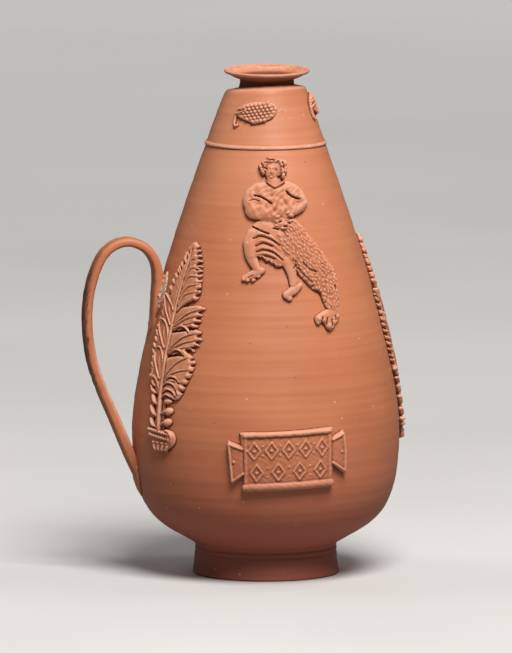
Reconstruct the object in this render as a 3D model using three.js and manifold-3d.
// Red-slip pottery flask: a thrown pear-shaped body on a ring foot, a conical shoulder behind a raised
// cordon, a short neck with a flaring lip, one strap handle, and mould-made clay sprigs luted on with slip:
// palm fronds, a hunter grappling a rearing beast, a framed tablet with flared ends, and grape bunches.
// Millimetres, +Z up, the front faces -Y. The clay is joined piece to piece, so nothing moves.

import * as THREE from "three";
import { mergeVertices } from "three/addons/utils/BufferGeometryUtils.js";
import Module from "manifold-3d";

const wasm = await Module();
wasm.setup();

// Driving dimensions, in millimetres. Each rise is measured from the piece below.

const SLIP_FILM = 0.3; // film of slip between two pieces of clay
const WALL = 3.2; // thickness of the thrown wall
const FLOOR = 4.2; // thickness of the body's floor
const TURN_STEPS = 36; // facets round the wheel axis
const BODY_STEPS = 16; // facets up the body's wall
const INNER_STEPS = 11; // and up its inner face
const SHOULDER_STEPS = 5;
const STRAP_STEPS = 30; // facets along the handle

const FOOT_HEIGHT = 11;
const FOOT_RADIUS = 26.1; // at the standing face
const FOOT_WAIST_RADIUS = 25.2; // where the body's curve starts
const FOOT_RING_WIDTH = 5.2; // of the standing face
const FOOT_INNER_SPLAY = 1.2; // the ring's bore narrows this much towards the body
const FOOT_EDGE = 0.7; // chamfer of the standing face
const FOOT_HOLLOW = 0.35; // how far the ring's side curves in, half way up

const BODY_HEIGHT = 141.4; // from the foot to the seam under the cordon
const BELLY_RADIUS = 47.35;
const BELLY_RISE = 40; // of the widest circle above the foot
const UNDERSIDE_PULL = 14.5; // how far the body runs out straight from the foot
const UNDERSIDE_SLOPE = 32.5; // degrees above level, where the body leaves the foot
const BELLY_PULL_DOWN = 32; // how far the belly keeps upright below its widest circle
const BELLY_PULL_UP = 15; // and above it
const SEAM_RADIUS = 21.25; // outer radius at the seam
const SEAM_LEAN = 19.9; // degrees from upright, where the body meets the seam
const SEAM_PULL = 54.7; // how far the body keeps that lean below the seam

const SHOULDER_HEIGHT = 22.3; // from the seam to the shoulder's flat top
const SHOULDER_TOP_RADIUS = 14.6; // where the cone starts to round over
const SHOULDER_ROUND = 2.4; // height of the rounded edge
const SHOULDER_LEDGE = 0.7; // flat width left round the neck's foot
const CORDON_RISE = 0.3; // of the cordon's lower edge above the seam
const CORDON_HEIGHT = 1.8;
const CORDON_PROUD = 0.55; // how far it stands out of its bed of slip
const CORDON_STEPS = 4;

const NECK_BORE = 6.6; // radius
const NECK_WALL = 2.6; // thickness at the narrowest
const SPIGOT_WALL = 3.3; // thickness of the collar that sits inside the shoulder
const NECK_SEAT_WIDTH = 0.9; // of the neck's foot on the shoulder, beyond the spigot
const NECK_RISE = 1.3; // of the narrowest circle above the shoulder
const MOUTH_HEIGHT = 5.3; // from the shoulder to the top of the lip
const LIP_RADIUS = 15.1;
const LIP_EDGE = 1.5; // thickness at the rim

const HANDLE_AZIMUTH = -90; // degrees from the front, towards the right
const STRAP_WIDTH = 8.6;
const STRAP_THICKNESS = 3.5;
const STRAP_GROOVE = 0.45; // depth of the two grooves on the outer face
const STRAP_SINK = 2; // how deep its ends run into the wall
const STRAP_LIFT = 1.4; // its middle line above the wall, where it leaves the upper joint
const HANDLE_UPPER_RISE = 86.6; // of the middle of the upper joint above the foot
const HANDLE_LOWER_RISE = 22.6; // of the middle of the lower joint above the foot
const HANDLE_CROWN_RISE = 108.2; // of the crown of the loop above the foot
const HANDLE_CROWN_REACH = 50.6; // of the crown from the wheel axis
const HANDLE_REACH = 64.2; // of the outermost point from the wheel axis
const HANDLE_REACH_RISE = 79.6;
const HANDLE_ELBOW_REACH = 62; // where the lower limb turns in
const HANDLE_ELBOW_RISE = 61.6;
const COLLAR_MARGIN = 1.2; // clay squeezed out past the strap's sides
const COLLAR_PROUD = 1.9;
const COLLAR_OVERHANG = 2.4; // clay squeezed out past the strap's end
const UPPER_COLLAR_LENGTH = 25;
const LOWER_COLLAR_LENGTH = 19;

const FROND_RISE = 72.6; // of a frond's middle above the foot
const FROND_CLEARANCE = 2.1; // between the widest leaflet and the handle's collar
const FROND_OPPOSITE = 176; // degrees from the handle to the frond on the far side
const FROND_LENGTH = 75; // from the foot of the cup to the tip
const RIB_RADIUS = 1.1;
const LEAFLET_PAIRS = 8;
const LEAFLET_SHORT = 9; // the lowest and the highest pair
const LEAFLET_LEFT = 14.5; // the middle one on the left, the narrower side
const LEAFLET_RIGHT = 20; // the middle one on the right
const LEAFLET_WIDTH = 4.4;
const LEAFLET_PROUD = 2.2;
const WEB_PROUD = 1.5; // of the leaf that joins the leaflets
const WEB_SHARE = 0.84; // how far along the leaflets it runs
const WEB_STEPS = 6; // facets across it
const LEAFLET_LEANS = [76, 20]; // degrees from the midrib, lowest and highest pair
const PLUME_WIDTH = 9;
const PLUME_LENGTH = 24; // the leaf that ends the frond
const CUP_WIDTH = 13;
const CUP_FOOT_WIDTH = 9.4;
const CUP_HEIGHT = 8;
const CUP_PROUD = 2;

const GROUP_AZIMUTH = 4; // of the hunter and the beast
const GROUP_RISE = 110;
const GROUP_HEIGHT = 63.1; // from the hunter's hair to the beast's muzzle
const LIMB_FLATTEN = 0.8; // relief against full round

const TABLET_AZIMUTH = 0;
const TABLET_RISE = 36.2;
const TABLET_WIDTH = 31.6;
const TABLET_HEIGHT = 19.6;
const TABLET_TILT = 2.6; // degrees, right side up
const TABLET_PROUD = 1.0; // of the sunk field
const FRAME_PROUD = 1.9;
const FRAME_BAR = 2.1; // width of the raised border
const ANSA_LENGTH = 5.2; // of the flared ends
const ANSA_ROOT = 8.6;
const ANSA_END = 14.6;

const BUNCH_AZIMUTHS = {
  grape_bunch_front: -21,
  grape_bunch_right: 84,
  grape_bunch_back: 202,
};
const BUNCH_RISE = 11.6; // of the front bunch's middle above the seam
const BUNCH_STEP = 1.8; // the others sit higher by this much
const BUNCH_TILT = 14; // degrees, the tip up to the right
const GRAPE_RADIUS = 1.6;
const GRAPE_SPACING = 2.75;
const BUNCH_ROWS = [3, 4, 3]; // grapes from the upper row to the lower
const ROW_SPACING = 2.5;
const STALK_LENGTH = 4.5;
const STALK_RADIUS = 0.8;

// Heights and radii that follow from these.

const SEAM_Z = FOOT_HEIGHT + BODY_HEIGHT;
const SHOULDER_Z = SEAM_Z + SHOULDER_HEIGHT;
const LIP_Z = SHOULDER_Z + MOUTH_HEIGHT;
const SPIGOT_RADIUS = NECK_BORE + SPIGOT_WALL;
const NECK_SEAT_RADIUS = SPIGOT_RADIUS + NECK_SEAT_WIDTH;
const COLLAR_HALF = STRAP_WIDTH / 2 + COLLAR_MARGIN;

const radians = THREE.MathUtils.degToRad;
const redSlip = { color: 0xb9683f, roughness: 0.48, metalness: 0 };
const lutingClay = { color: 0xc08a68, roughness: 0.75, metalness: 0 };

// Solids and meshes

function solidOf(geometry) {
  const bare = new THREE.BufferGeometry().setAttribute("position", geometry.getAttribute("position"));
  if (geometry.index) bare.setIndex(geometry.index);
  const merged = mergeVertices(bare, 1e-4);
  return new wasm.Manifold(
    new wasm.Mesh({
      numProp: 3,
      vertProperties: new Float32Array(merged.getAttribute("position").array),
      triVerts: new Uint32Array(merged.index.array),
    }),
  );
}

function geometryOf(solid) {
  const mesh = solid.getMesh();
  const geometry = new THREE.BufferGeometry();
  geometry.setAttribute("position", new THREE.BufferAttribute(mesh.vertProperties, 3));
  geometry.setIndex(new THREE.BufferAttribute(mesh.triVerts, 1));
  geometry.computeVertexNormals();
  return geometry;
}

const unionOf = (geometries) => geometries.map(solidOf).reduce((whole, next) => whole.add(next));

function pieceOf(name, geometry, surface = redSlip) {
  const mesh = new THREE.Mesh(geometry, new THREE.MeshStandardMaterial(surface));
  mesh.name = name;
  return mesh;
}

// A profile of (radius, height) points, anticlockwise in that plane, turned about the wheel axis.
function turned(profile) {
  return new THREE.LatheGeometry(profile, TURN_STEPS).rotateX(Math.PI / 2);
}

const at = (radius, height) => new THREE.Vector2(radius, height);

// The wall's outer curve, from the foot to the seam

const bodyCurve = new THREE.CurvePath();
{
  const foot = at(FOOT_WAIST_RADIUS, FOOT_HEIGHT);
  const belly = at(BELLY_RADIUS, FOOT_HEIGHT + BELLY_RISE);
  const seam = at(SEAM_RADIUS, SEAM_Z);
  const slope = radians(UNDERSIDE_SLOPE);
  const lean = radians(SEAM_LEAN);
  bodyCurve.add(
    new THREE.CubicBezierCurve(
      foot,
      foot.clone().add(at(Math.cos(slope), Math.sin(slope)).multiplyScalar(UNDERSIDE_PULL)),
      belly.clone().sub(at(0, BELLY_PULL_DOWN)),
      belly,
    ),
  );
  bodyCurve.add(
    new THREE.CubicBezierCurve(
      belly,
      belly.clone().add(at(0, BELLY_PULL_UP)),
      seam.clone().sub(at(-Math.sin(lean), Math.cos(lean)).multiplyScalar(SEAM_PULL)),
      seam,
    ),
  );
}

// The shoulder's outer curve, from the seam to its flat top

const shoulderCurve = new THREE.CurvePath();
{
  const seam = at(SEAM_RADIUS, SEAM_Z);
  const edge = at(SHOULDER_TOP_RADIUS, SHOULDER_Z - SHOULDER_ROUND);
  const slant = edge.clone().sub(seam).normalize();
  const corner = edge.clone().addScaledVector(slant, SHOULDER_ROUND / slant.y);
  const flat = at(NECK_SEAT_RADIUS + SHOULDER_LEDGE, SHOULDER_Z);
  shoulderCurve.add(new THREE.LineCurve(seam, edge));
  shoulderCurve.add(new THREE.QuadraticBezierCurve(edge, corner, flat));
}

// Place on a curve at a distance along it, with the outward normal of the wall there.
function wallAt(curve, distance) {
  const share = THREE.MathUtils.clamp(distance / curve.getLength(), 0, 1);
  const place = curve.getPointAt(share);
  const along = curve.getTangentAt(share);
  return { place, normal: at(along.y, -along.x) };
}

// Distance along a curve at which it reaches a height.
function distanceAt(curve, height) {
  let low = 0;
  let high = curve.getLength();
  for (let step = 0; step < 40; step += 1) {
    const middle = (low + high) / 2;
    if (wallAt(curve, middle).place.y < height) low = middle;
    else high = middle;
  }
  return (low + high) / 2;
}

const radiusAt = (height) => wallAt(bodyCurve, distanceAt(bodyCurve, height)).place.x;

// Points of a curve from its start to its end, moved sideways along the outward normal.
function offsetPoints(curve, count, offset) {
  const length = curve.getLength();
  return Array.from({ length: count + 1 }, (_, index) => {
    const { place, normal } = wallAt(curve, (length * index) / count);
    return place.clone().addScaledVector(normal, offset);
  });
}

// Everything inside the wall's outer face moved out by a margin: it cuts the backs of what is luted on.
function wallSolid(margin) {
  const body = offsetPoints(bodyCurve, BODY_STEPS, margin);
  const shoulder = offsetPoints(shoulderCurve, SHOULDER_STEPS, margin).slice(1);
  const top = shoulder[shoulder.length - 1];
  return solidOf(turned([at(0, body[0].y), ...body, ...shoulder, at(0, top.y)]));
}

const luteLine = wallSolid(SLIP_FILM);

// Thrown pieces

function footRing() {
  const bore = FOOT_RADIUS - FOOT_RING_WIDTH;
  const profile = [
    at(bore + FOOT_EDGE, 0),
    at(FOOT_RADIUS - FOOT_EDGE, 0),
    at(FOOT_RADIUS, FOOT_EDGE),
    at((FOOT_RADIUS + FOOT_WAIST_RADIUS) / 2 - FOOT_HOLLOW, FOOT_HEIGHT / 2),
    at(FOOT_WAIST_RADIUS, FOOT_HEIGHT),
    at(bore - FOOT_INNER_SPLAY, FOOT_HEIGHT),
    at(bore, FOOT_EDGE),
    at(bore + FOOT_EDGE, 0),
  ];
  return turned(profile);
}

function bodyWall() {
  const outer = offsetPoints(bodyCurve, BODY_STEPS, 0);
  const floorZ = FOOT_HEIGHT + FLOOR;
  const inner = offsetPoints(bodyCurve, INNER_STEPS, -WALL).filter((point) => point.y > floorZ);
  inner[inner.length - 1].y = SEAM_Z;
  const floorEdge = at(Math.max(inner[0].x - WALL, WALL), floorZ);
  return turned([at(0, FOOT_HEIGHT), ...outer, ...inner.reverse(), floorEdge, at(0, floorZ)]);
}

function shoulderCone() {
  const hole = SPIGOT_RADIUS + SLIP_FILM;
  const outer = offsetPoints(shoulderCurve, SHOULDER_STEPS, 0);
  const inner = offsetPoints(shoulderCurve, SHOULDER_STEPS, -WALL);
  inner[0] = at(offsetPoints(bodyCurve, 1, -WALL)[1].x, SEAM_Z);
  const under = inner.filter((point) => point.x > hole && point.y < SHOULDER_Z - WALL);
  return turned([
    ...outer,
    at(hole, SHOULDER_Z),
    at(hole, SHOULDER_Z - WALL),
    ...under.reverse(),
    outer[0].clone(),
  ]);
}

function cordonRing() {
  const middle = distanceAt(shoulderCurve, SEAM_Z + CORDON_RISE) + CORDON_HEIGHT / 2;
  const profile = Array.from({ length: CORDON_STEPS + 1 }, (_, index) => {
    const angle = (Math.PI * index) / CORDON_STEPS;
    const { place, normal } = wallAt(shoulderCurve, middle - (CORDON_HEIGHT / 2) * Math.cos(angle));
    return place.clone().addScaledVector(normal, SLIP_FILM + CORDON_PROUD * Math.sin(angle));
  });
  return turned([...profile, profile[0].clone()]);
}

function mouthRim() {
  const neck = at(NECK_BORE + NECK_WALL, SHOULDER_Z + NECK_RISE);
  const lipUnder = LIP_Z - LIP_EDGE;
  const flare = new THREE.QuadraticBezierCurve(
    neck,
    at(neck.x + LIP_EDGE, lipUnder - LIP_EDGE / 2),
    at(LIP_RADIUS - LIP_EDGE / 4, lipUnder),
  );
  const funnel = new THREE.QuadraticBezierCurve(
    at(LIP_RADIUS - LIP_EDGE, LIP_Z),
    at(NECK_BORE + LIP_EDGE, LIP_Z - LIP_EDGE),
    at(NECK_BORE, SHOULDER_Z),
  );
  const start = at(NECK_BORE, SHOULDER_Z - WALL);
  return turned([
    start,
    at(SPIGOT_RADIUS, SHOULDER_Z - WALL),
    at(SPIGOT_RADIUS, SHOULDER_Z),
    at(NECK_SEAT_RADIUS, SHOULDER_Z),
    ...flare.getPoints(3),
    at(LIP_RADIUS, LIP_Z - LIP_EDGE / 2),
    at(LIP_RADIUS - LIP_EDGE / 4, LIP_Z - LIP_EDGE / 8),
    ...funnel.getPoints(3),
    start.clone(),
  ]);
}

// Handle

// The middle line of the strap, as radius and height in the handle's own upright plane.
function strapLine() {
  const upperZ = FOOT_HEIGHT + HANDLE_UPPER_RISE;
  const lowerZ = FOOT_HEIGHT + HANDLE_LOWER_RISE;
  const crownZ = FOOT_HEIGHT + HANDLE_CROWN_RISE;
  const reachZ = FOOT_HEIGHT + HANDLE_REACH_RISE;
  const upperEnd = upperZ - UPPER_COLLAR_LENGTH / 2 + COLLAR_OVERHANG;
  const upperLift = upperZ + UPPER_COLLAR_LENGTH / 2 - STRAP_WIDTH / 2;
  const lowerLift = lowerZ + LOWER_COLLAR_LENGTH / 2;
  const lowerEnd = lowerZ - LOWER_COLLAR_LENGTH / 2 + COLLAR_OVERHANG;
  const liftRadius = radiusAt(upperLift) + STRAP_LIFT;
  const points = [
    at(radiusAt(upperEnd) - STRAP_SINK, upperEnd),
    at(radiusAt(upperZ), upperZ),
    at(liftRadius, upperLift),
  ];
  const quarter = Math.PI / 2;
  for (const share of [0.35, 0.68]) {
    const angle = share * quarter;
    points.push(
      at(
        HANDLE_CROWN_REACH - (HANDLE_CROWN_REACH - liftRadius) * Math.cos(angle),
        upperLift + (crownZ - upperLift) * Math.sin(angle),
      ),
    );
  }
  for (const share of [0, 0.33, 0.66, 1]) {
    const angle = share * quarter;
    points.push(
      at(
        HANDLE_CROWN_REACH + (HANDLE_REACH - HANDLE_CROWN_REACH) * Math.sin(angle),
        reachZ + (crownZ - reachZ) * Math.cos(angle),
      ),
    );
  }
  const elbow = at(HANDLE_ELBOW_REACH, FOOT_HEIGHT + HANDLE_ELBOW_RISE);
  const landing = at(radiusAt(lowerLift) + STRAP_LIFT, lowerLift);
  points.push(elbow, elbow.clone().lerp(landing, 0.5), landing);
  points.push(at(radiusAt(lowerZ), lowerZ));
  points.push(at(radiusAt(lowerEnd) - STRAP_SINK, lowerEnd));
  return new THREE.CatmullRomCurve3(points.map((point) => new THREE.Vector3(-point.x, 0, point.y)));
}

// The strap's section: x runs across the strap, y through it, with the grooved face outwards.
function strapSection(margin) {
  const half = STRAP_WIDTH / 2 + margin;
  const deep = STRAP_THICKNESS / 2 + margin;
  const groove = deep - STRAP_GROOVE;
  const rib = half / 3;
  const section = new THREE.Shape();
  section.moveTo(-half, 0);
  section.quadraticCurveTo(-half, deep, -half + rib * 0.7, deep);
  section.quadraticCurveTo(-rib, groove, -rib * 0.35, deep);
  section.lineTo(rib * 0.35, deep);
  section.quadraticCurveTo(rib, groove, half - rib * 0.7, deep);
  section.quadraticCurveTo(half, deep, half, 0);
  section.quadraticCurveTo(half, -deep, half - rib, -deep);
  section.lineTo(-half + rib, -deep);
  section.quadraticCurveTo(-half, -deep, -half, 0);
  return section;
}

// The handle's plane starts at -X, which is -90 degrees from the front.
const handleTurn = radians(HANDLE_AZIMUTH + 90);

function strapSolid(margin) {
  const strap = new THREE.ExtrudeGeometry(strapSection(margin), {
    steps: STRAP_STEPS,
    curveSegments: 2,
    bevelEnabled: false,
    extrudePath: strapLine(),
  });
  return solidOf(strap.rotateZ(handleTurn));
}

const handleStrap = () => geometryOf(strapSolid(0).subtract(luteLine));

function lutingCollar(rise, length) {
  const pad = new THREE.CapsuleGeometry(COLLAR_HALF, length - 2 * COLLAR_HALF, 2, 10, 2);
  pad.scale(1, 1, COLLAR_PROUD / COLLAR_HALF);
  const seat = { curve: bodyCurve, azimuth: HANDLE_AZIMUTH, height: FOOT_HEIGHT + rise };
  return geometryOf(solidOf(luted(pad, seat)).subtract(luteLine).subtract(strapSolid(SLIP_FILM)));
}

// Sprigs: flat relief in (across, up, proud), laid on the wall

// Bends a flat piece round the wall: its x runs round the wall, its y up along it and its z outwards.
function luted(geometry, { curve, azimuth, height }) {
  const start = distanceAt(curve, height);
  const position = geometry.getAttribute("position");
  for (let index = 0; index < position.count; index += 1) {
    const { place, normal } = wallAt(curve, start + position.getY(index));
    const turn = radians(azimuth) + position.getX(index) / place.x;
    const out = place.addScaledVector(normal, position.getZ(index) + SLIP_FILM);
    position.setXYZ(index, out.x * Math.sin(turn), -out.x * Math.cos(turn), out.y);
  }
  return geometry;
}

const sprig = (pieces, seat) =>
  geometryOf(unionOf(pieces.map((piece) => luted(piece, seat))).subtract(luteLine));

function ellipsoid([across, up], [halfAcross, halfUp, proud], tilt = 0) {
  const ball = new THREE.SphereGeometry(1, 8, 4).rotateX(Math.PI / 2);
  return ball.scale(halfAcross, halfUp, proud).rotateZ(radians(tilt)).translate(across, up, 0);
}

// A pointed leaf with a ridge along its middle.
function leaflet([across, up], [halfAcross, halfUp, proud], tilt = 0) {
  const leaf = new THREE.OctahedronGeometry(1);
  return leaf.scale(halfAcross, halfUp, proud).rotateZ(radians(tilt)).translate(across, up, 0);
}

const bead = ([across, up], radius) => new THREE.IcosahedronGeometry(radius).translate(across, up, 0);

// A round-ended limb between two places, flattened as relief is.
function limb([fromX, fromY], [toX, toY], radius, lengthSteps = 1) {
  const length = Math.hypot(toX - fromX, toY - fromY);
  const rod = new THREE.CapsuleGeometry(radius, length, 2, 6, lengthSteps);
  rod.rotateY(Math.PI / 6).scale(1, 1, LIMB_FLATTEN);
  rod.rotateZ(Math.atan2(toY - fromY, toX - fromX) - Math.PI / 2);
  return rod.translate((fromX + toX) / 2, (fromY + toY) / 2, 0);
}

// A slab whose height across changes from its left end to its right end.
function slab([across, up], length, leftHeight, rightHeight, proud, steps) {
  const box = new THREE.BoxGeometry(length, 1, 2 * proud, steps, 2, 1);
  const position = box.getAttribute("position");
  for (let index = 0; index < position.count; index += 1) {
    const share = position.getX(index) / length + 0.5;
    position.setY(index, position.getY(index) * THREE.MathUtils.lerp(leftHeight, rightHeight, share));
  }
  return box.translate(across, up, 0);
}

// Degrees round the wall from the handle to a frond's midrib, so that its leaflets clear the collar.
function frondStep(longest) {
  const reach = longest * Math.sin(radians((LEAFLET_LEANS[0] + LEAFLET_LEANS[1]) / 2));
  const along = COLLAR_HALF + FROND_CLEARANCE + reach;
  return THREE.MathUtils.radToDeg(along / radiusAt(FOOT_HEIGHT + HANDLE_UPPER_RISE));
}

// The leaf between the leaflets: each row of facets runs from the midrib towards a pair of tips.
function leafWeb(rows) {
  const last = rows.length - 1;
  const web = new THREE.BoxGeometry(2, last, 2 * WEB_PROUD, WEB_STEPS, last, 1);
  const position = web.getAttribute("position");
  for (let index = 0; index < position.count; index += 1) {
    const side = position.getX(index);
    const { root, left, right } = rows[Math.round(position.getY(index) + last / 2)];
    const tip = side < 0 ? left : right;
    const share = Math.abs(side) * WEB_SHARE;
    position.setXY(index, tip.x * share, THREE.MathUtils.lerp(root, tip.y, share));
  }
  return web;
}

function palmFrond(azimuth) {
  const tip = FROND_LENGTH / 2;
  const cupTop = CUP_HEIGHT - tip;
  const plumeMiddle = tip - PLUME_LENGTH / 2;
  const pieces = [
    limb([0, cupTop], [0, plumeMiddle], RIB_RADIUS, 8),
    leaflet([0, plumeMiddle], [PLUME_WIDTH / 2, PLUME_LENGTH / 2, LEAFLET_PROUD]),
  ];
  const rows = [];
  for (let pair = 0; pair < LEAFLET_PAIRS; pair += 1) {
    const share = pair / (LEAFLET_PAIRS - 1);
    const root = THREE.MathUtils.lerp(cupTop + LEAFLET_WIDTH / 2, plumeMiddle, share);
    const lean = THREE.MathUtils.lerp(...LEAFLET_LEANS, share);
    const tips = [-LEAFLET_LEFT, LEAFLET_RIGHT].map((longest) => {
      const side = Math.sign(longest);
      const length = THREE.MathUtils.lerp(LEAFLET_SHORT, Math.abs(longest), Math.sin(Math.PI * share));
      const tip = at(side * length * Math.sin(radians(lean)), root + length * Math.cos(radians(lean)));
      const middle = [tip.x / 2, (root + tip.y) / 2];
      pieces.push(leaflet(middle, [LEAFLET_WIDTH / 2, length / 2, LEAFLET_PROUD], -side * lean));
      return tip;
    });
    rows.push({ root, left: tips[0], right: tips[1] });
  }
  pieces.push(leafWeb(rows));
  const cup = new THREE.CylinderGeometry(CUP_WIDTH / 2, CUP_FOOT_WIDTH / 2, CUP_HEIGHT, 10, 2);
  pieces.push(cup.scale(1, 1, (2 * CUP_PROUD) / CUP_WIDTH).translate(0, cupTop - CUP_HEIGHT / 2, 0));
  const rim = CUP_WIDTH / 2;
  pieces.push(limb([-rim, cupTop], [rim, cupTop], RIB_RADIUS, 3));
  return sprig(pieces, { curve: bodyCurve, azimuth, height: FOOT_HEIGHT + FROND_RISE });
}

// The two are drawn in parts of the group's own size and brought to its height.
function hunterAndBeast() {
  const hunter = [
    ellipsoid([-2.9, 26.6], [4.3, 4.3, 2.4]),
    limb([-2.9, 23], [-2.9, 18], 2),
    ellipsoid([-3, 14.6], [8, 8, 2.5]),
    limb([-9, 17.6], [-12.4, 13.4], 2.9),
    limb([-12.2, 12.6], [-5.6, 8.6], 2.6),
    limb([3.6, 17.2], [6.6, 13.4], 2.8),
    limb([6.4, 12.8], [0.6, 8.8], 2.4),
    ellipsoid([-7.4, 0.6], [7.6, 6.2, 2.3], -32),
    limb([-13.4, -1.4], [-12.4, -8.6], 2.4),
    limb([-11.6, -10], [-15.4, -12.2], 2),
    limb([-2, -5], [-0.4, -15], 2.3),
    limb([1.6, -16.2], [-1.4, -18.2], 2),
  ];
  const beast = [
    ellipsoid([-2.4, 5.2], [3.6, 3, 2.6], -20),
    limb([1.4, 3], [4.2, -0.8], 5, 1),
    limb([4.4, -1.2], [10, -8.2], 5.1, 2),
    limb([10, -8.2], [14, -14.6], 4.8, 2),
    limb([15.4, -16], [15.4, -25], 2.9, 2),
    ellipsoid([12.6, -28.6], [5, 3.6, 2.3], -14),
  ];
  const seat = { curve: bodyCurve, azimuth: GROUP_AZIMUTH, height: FOOT_HEIGHT + GROUP_RISE };
  const group = [...hunter, ...beast];
  const drawn = new THREE.Box3();
  for (const piece of group) {
    piece.computeBoundingBox();
    drawn.union(piece.boundingBox);
  }
  const scale = GROUP_HEIGHT / (drawn.max.y - drawn.min.y);
  return sprig(
    group.map((piece) => piece.scale(scale, scale, scale)),
    seat,
  );
}

function framedTablet() {
  const barX = (TABLET_WIDTH - FRAME_BAR) / 2;
  const barY = (TABLET_HEIGHT - FRAME_BAR) / 2;
  const pieces = [slab([0, 0], TABLET_WIDTH - FRAME_BAR, barY * 2, barY * 2, TABLET_PROUD, 6)];
  for (const side of [-1, 1]) {
    pieces.push(slab([0, side * barY], TABLET_WIDTH, FRAME_BAR, FRAME_BAR, FRAME_PROUD, 6));
    pieces.push(slab([side * barX, 0], FRAME_BAR, TABLET_HEIGHT, TABLET_HEIGHT, FRAME_PROUD, 1));
    const heights = side > 0 ? [ANSA_ROOT, ANSA_END] : [ANSA_END, ANSA_ROOT];
    const middle = side * (TABLET_WIDTH / 2 + ANSA_LENGTH / 2 - FRAME_BAR / 4);
    pieces.push(slab([middle, 0], ANSA_LENGTH + FRAME_BAR / 2, ...heights, TABLET_PROUD, 2));
    const end = side * (TABLET_WIDTH / 2 + ANSA_LENGTH - FRAME_BAR / 4);
    pieces.push(slab([end, 0], FRAME_BAR / 2, ANSA_END, ANSA_END, (TABLET_PROUD + FRAME_PROUD) / 2, 1));
  }
  const tilted = pieces.map((piece) => piece.rotateZ(radians(TABLET_TILT)));
  const seat = { curve: bodyCurve, azimuth: TABLET_AZIMUTH, height: FOOT_HEIGHT + TABLET_RISE };
  return sprig(tilted, seat);
}

function grapeBunch(azimuth, rise) {
  const pieces = [];
  const middleRow = (BUNCH_ROWS.length - 1) / 2;
  BUNCH_ROWS.forEach((count, row) => {
    const up = (middleRow - row) * ROW_SPACING;
    for (let index = 0; index < count; index += 1) {
      const across = (index - (count - 1) / 2) * GRAPE_SPACING;
      pieces.push(bead([across, up], GRAPE_RADIUS));
    }
  });
  const root = -(Math.max(...BUNCH_ROWS) / 2) * GRAPE_SPACING;
  const stalkEnd = [root - STALK_LENGTH / 2, -STALK_LENGTH / 3];
  pieces.push(limb([root + GRAPE_SPACING, 0], stalkEnd, STALK_RADIUS, 2));
  const tilted = pieces.map((piece) => piece.rotateZ(radians(BUNCH_TILT)));
  return sprig(tilted, { curve: shoulderCurve, azimuth, height: SEAM_Z + rise });
}

// Assembly

const flask = new THREE.Group();
flask.name = "red_slip_flask";
flask.add(
  pieceOf("foot_ring", footRing()),
  pieceOf("body_wall", bodyWall()),
  pieceOf("shoulder_cone", shoulderCone()),
  pieceOf("cordon_ring", cordonRing()),
  pieceOf("mouth_rim", mouthRim()),
  pieceOf("handle_strap", handleStrap()),
  pieceOf("handle_upper_collar", lutingCollar(HANDLE_UPPER_RISE, UPPER_COLLAR_LENGTH), lutingClay),
  pieceOf("handle_lower_collar", lutingCollar(HANDLE_LOWER_RISE, LOWER_COLLAR_LENGTH), lutingClay),
  pieceOf("hunter_and_beast", hunterAndBeast()),
  pieceOf("framed_tablet", framedTablet()),
);
const frontFrond = HANDLE_AZIMUTH + frondStep(LEAFLET_LEFT);
const rightFrond = HANDLE_AZIMUTH + FROND_OPPOSITE;
const backFrond = (frontFrond + rightFrond) / 2 + 180; // half way between the two, on the far side
flask.add(
  pieceOf("palm_frond_front", palmFrond(frontFrond)),
  pieceOf("palm_frond_right", palmFrond(rightFrond)),
  pieceOf("palm_frond_back", palmFrond(backFrond)),
);
for (const [name, azimuth] of Object.entries(BUNCH_AZIMUTHS)) {
  const step = name === "grape_bunch_front" ? 0 : BUNCH_STEP;
  flask.add(pieceOf(name, grapeBunch(azimuth, BUNCH_RISE + step)));
}

// The origin lies on the standing face, in the middle of the flask's outline seen from above.
const extent = new THREE.Box3().setFromObject(flask);
const centre = extent.getCenter(new THREE.Vector3());
flask.children.forEach((piece) => piece.position.set(-centre.x, -centre.y, -extent.min.z));

export default flask;
